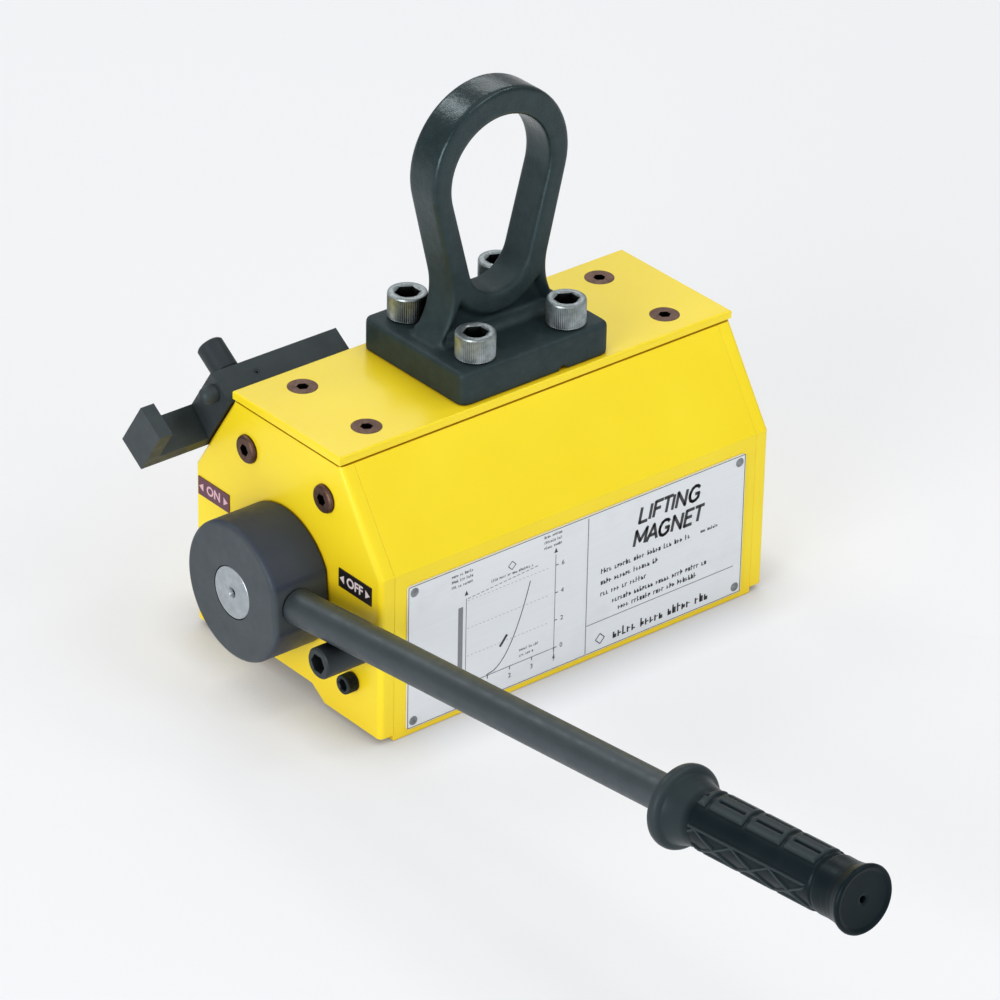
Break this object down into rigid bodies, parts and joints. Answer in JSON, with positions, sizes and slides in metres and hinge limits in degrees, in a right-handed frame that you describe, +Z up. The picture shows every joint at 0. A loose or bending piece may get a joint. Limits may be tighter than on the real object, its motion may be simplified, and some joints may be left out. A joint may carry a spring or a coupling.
{
  "type": "lifting magnet",
  "caption": "Hand-switched permanent lifting magnet: yellow steel body around a magnet rotor, side lever with rubber grip, sprung lever lock and forged top eye.",
  "frame": {"origin": "middle of the plane of the two pole feet, under the middle of the body", "axes": "+Z up to the lifting eye, -Z towards the load, +X towards the side where the lever lies when off, -Y towards the lever hub"},
  "size_m": [0.4589, 0.2615, 0.2595],
  "materials": {
    "yellow_paint": "smooth semi-gloss powder coat",
    "dark_forging": "satin dark grey paint over a forged skin",
    "black_oxide": "blued and oiled steel, satin",
    "brown_screw": "phosphated steel, brownish",
    "zinc_screw": "zinc-plated steel, satin",
    "bare_steel": "turned stainless steel",
    "soft_iron": "machined soft iron",
    "magnet_block": "nickel-plated sintered magnet",
    "brass_strip": "machined brass",
    "bearing_bronze": "sintered bronze",
    "plate_aluminium": "satin anodised sheet, printed",
    "label_film": "printed film",
    "grip_rubber": "moulded rubber, matt",
    "spring_steel": "drawn wire"
  },
  "bodies": {
    "housing": {"pole_left": "yellow_paint", "pole_right": "yellow_paint", "pole_spacer": "brass_strip", "bore_strip": "bare_steel", "fixed_magnets": "magnet_block", "top_filler": "brass_strip", "top_plate": "yellow_paint", "top_plate_screws": "brown_screw", "front_plate": "yellow_paint", "rear_plate": "yellow_paint", "front_plate_screws": "brown_screw", "rear_plate_screws": "brown_screw", "front_cap_screws": "black_oxide", "rear_cap_screws": "black_oxide", "front_bush": "bearing_bronze", "rear_bush": "bearing_bronze", "lifting_eye": "dark_forging", "eye_screws": "zinc_screw", "name_plate": "plate_aluminium", "name_plate_rivets": "plate_aluminium", "on_label": "label_film", "off_label": "label_film", "stop_post": "black_oxide", "lock_bar": "black_oxide", "lock_bar_screws": "black_oxide", "detent_screw": "black_oxide", "lock_spring": "spring_steel"},
    "rotor": {"rotor_core_right": "soft_iron", "rotor_core_left": "soft_iron", "rotor_magnets": "magnet_block", "rotor_side_strips": "brass_strip", "drive_shaft": "bare_steel", "rear_journal": "bare_steel", "front_flange_screws": "black_oxide", "rear_flange_screws": "black_oxide", "hub": "black_oxide", "hub_key": "bare_steel", "hub_set_screw": "black_oxide", "lever_rod": "black_oxide", "grip": "grip_rubber"},
    "plunger": {"lock_pin": "black_oxide", "lock_knob": "black_oxide"}
  },
  "joints": [
    {"name": "lever_turn", "type": "hinge", "parent": "housing", "child": "rotor", "pos_m": [0, -0.1275, 0.057], "axis": [0, -1, 0], "range_deg": [0, 129.2]},
    {"name": "lock_pin_slide", "type": "slide", "parent": "housing", "child": "plunger", "axis": [0, -1, 0], "range_m": [-0.007, 0.006], "deforming": ["lock_spring"]}
  ]
}
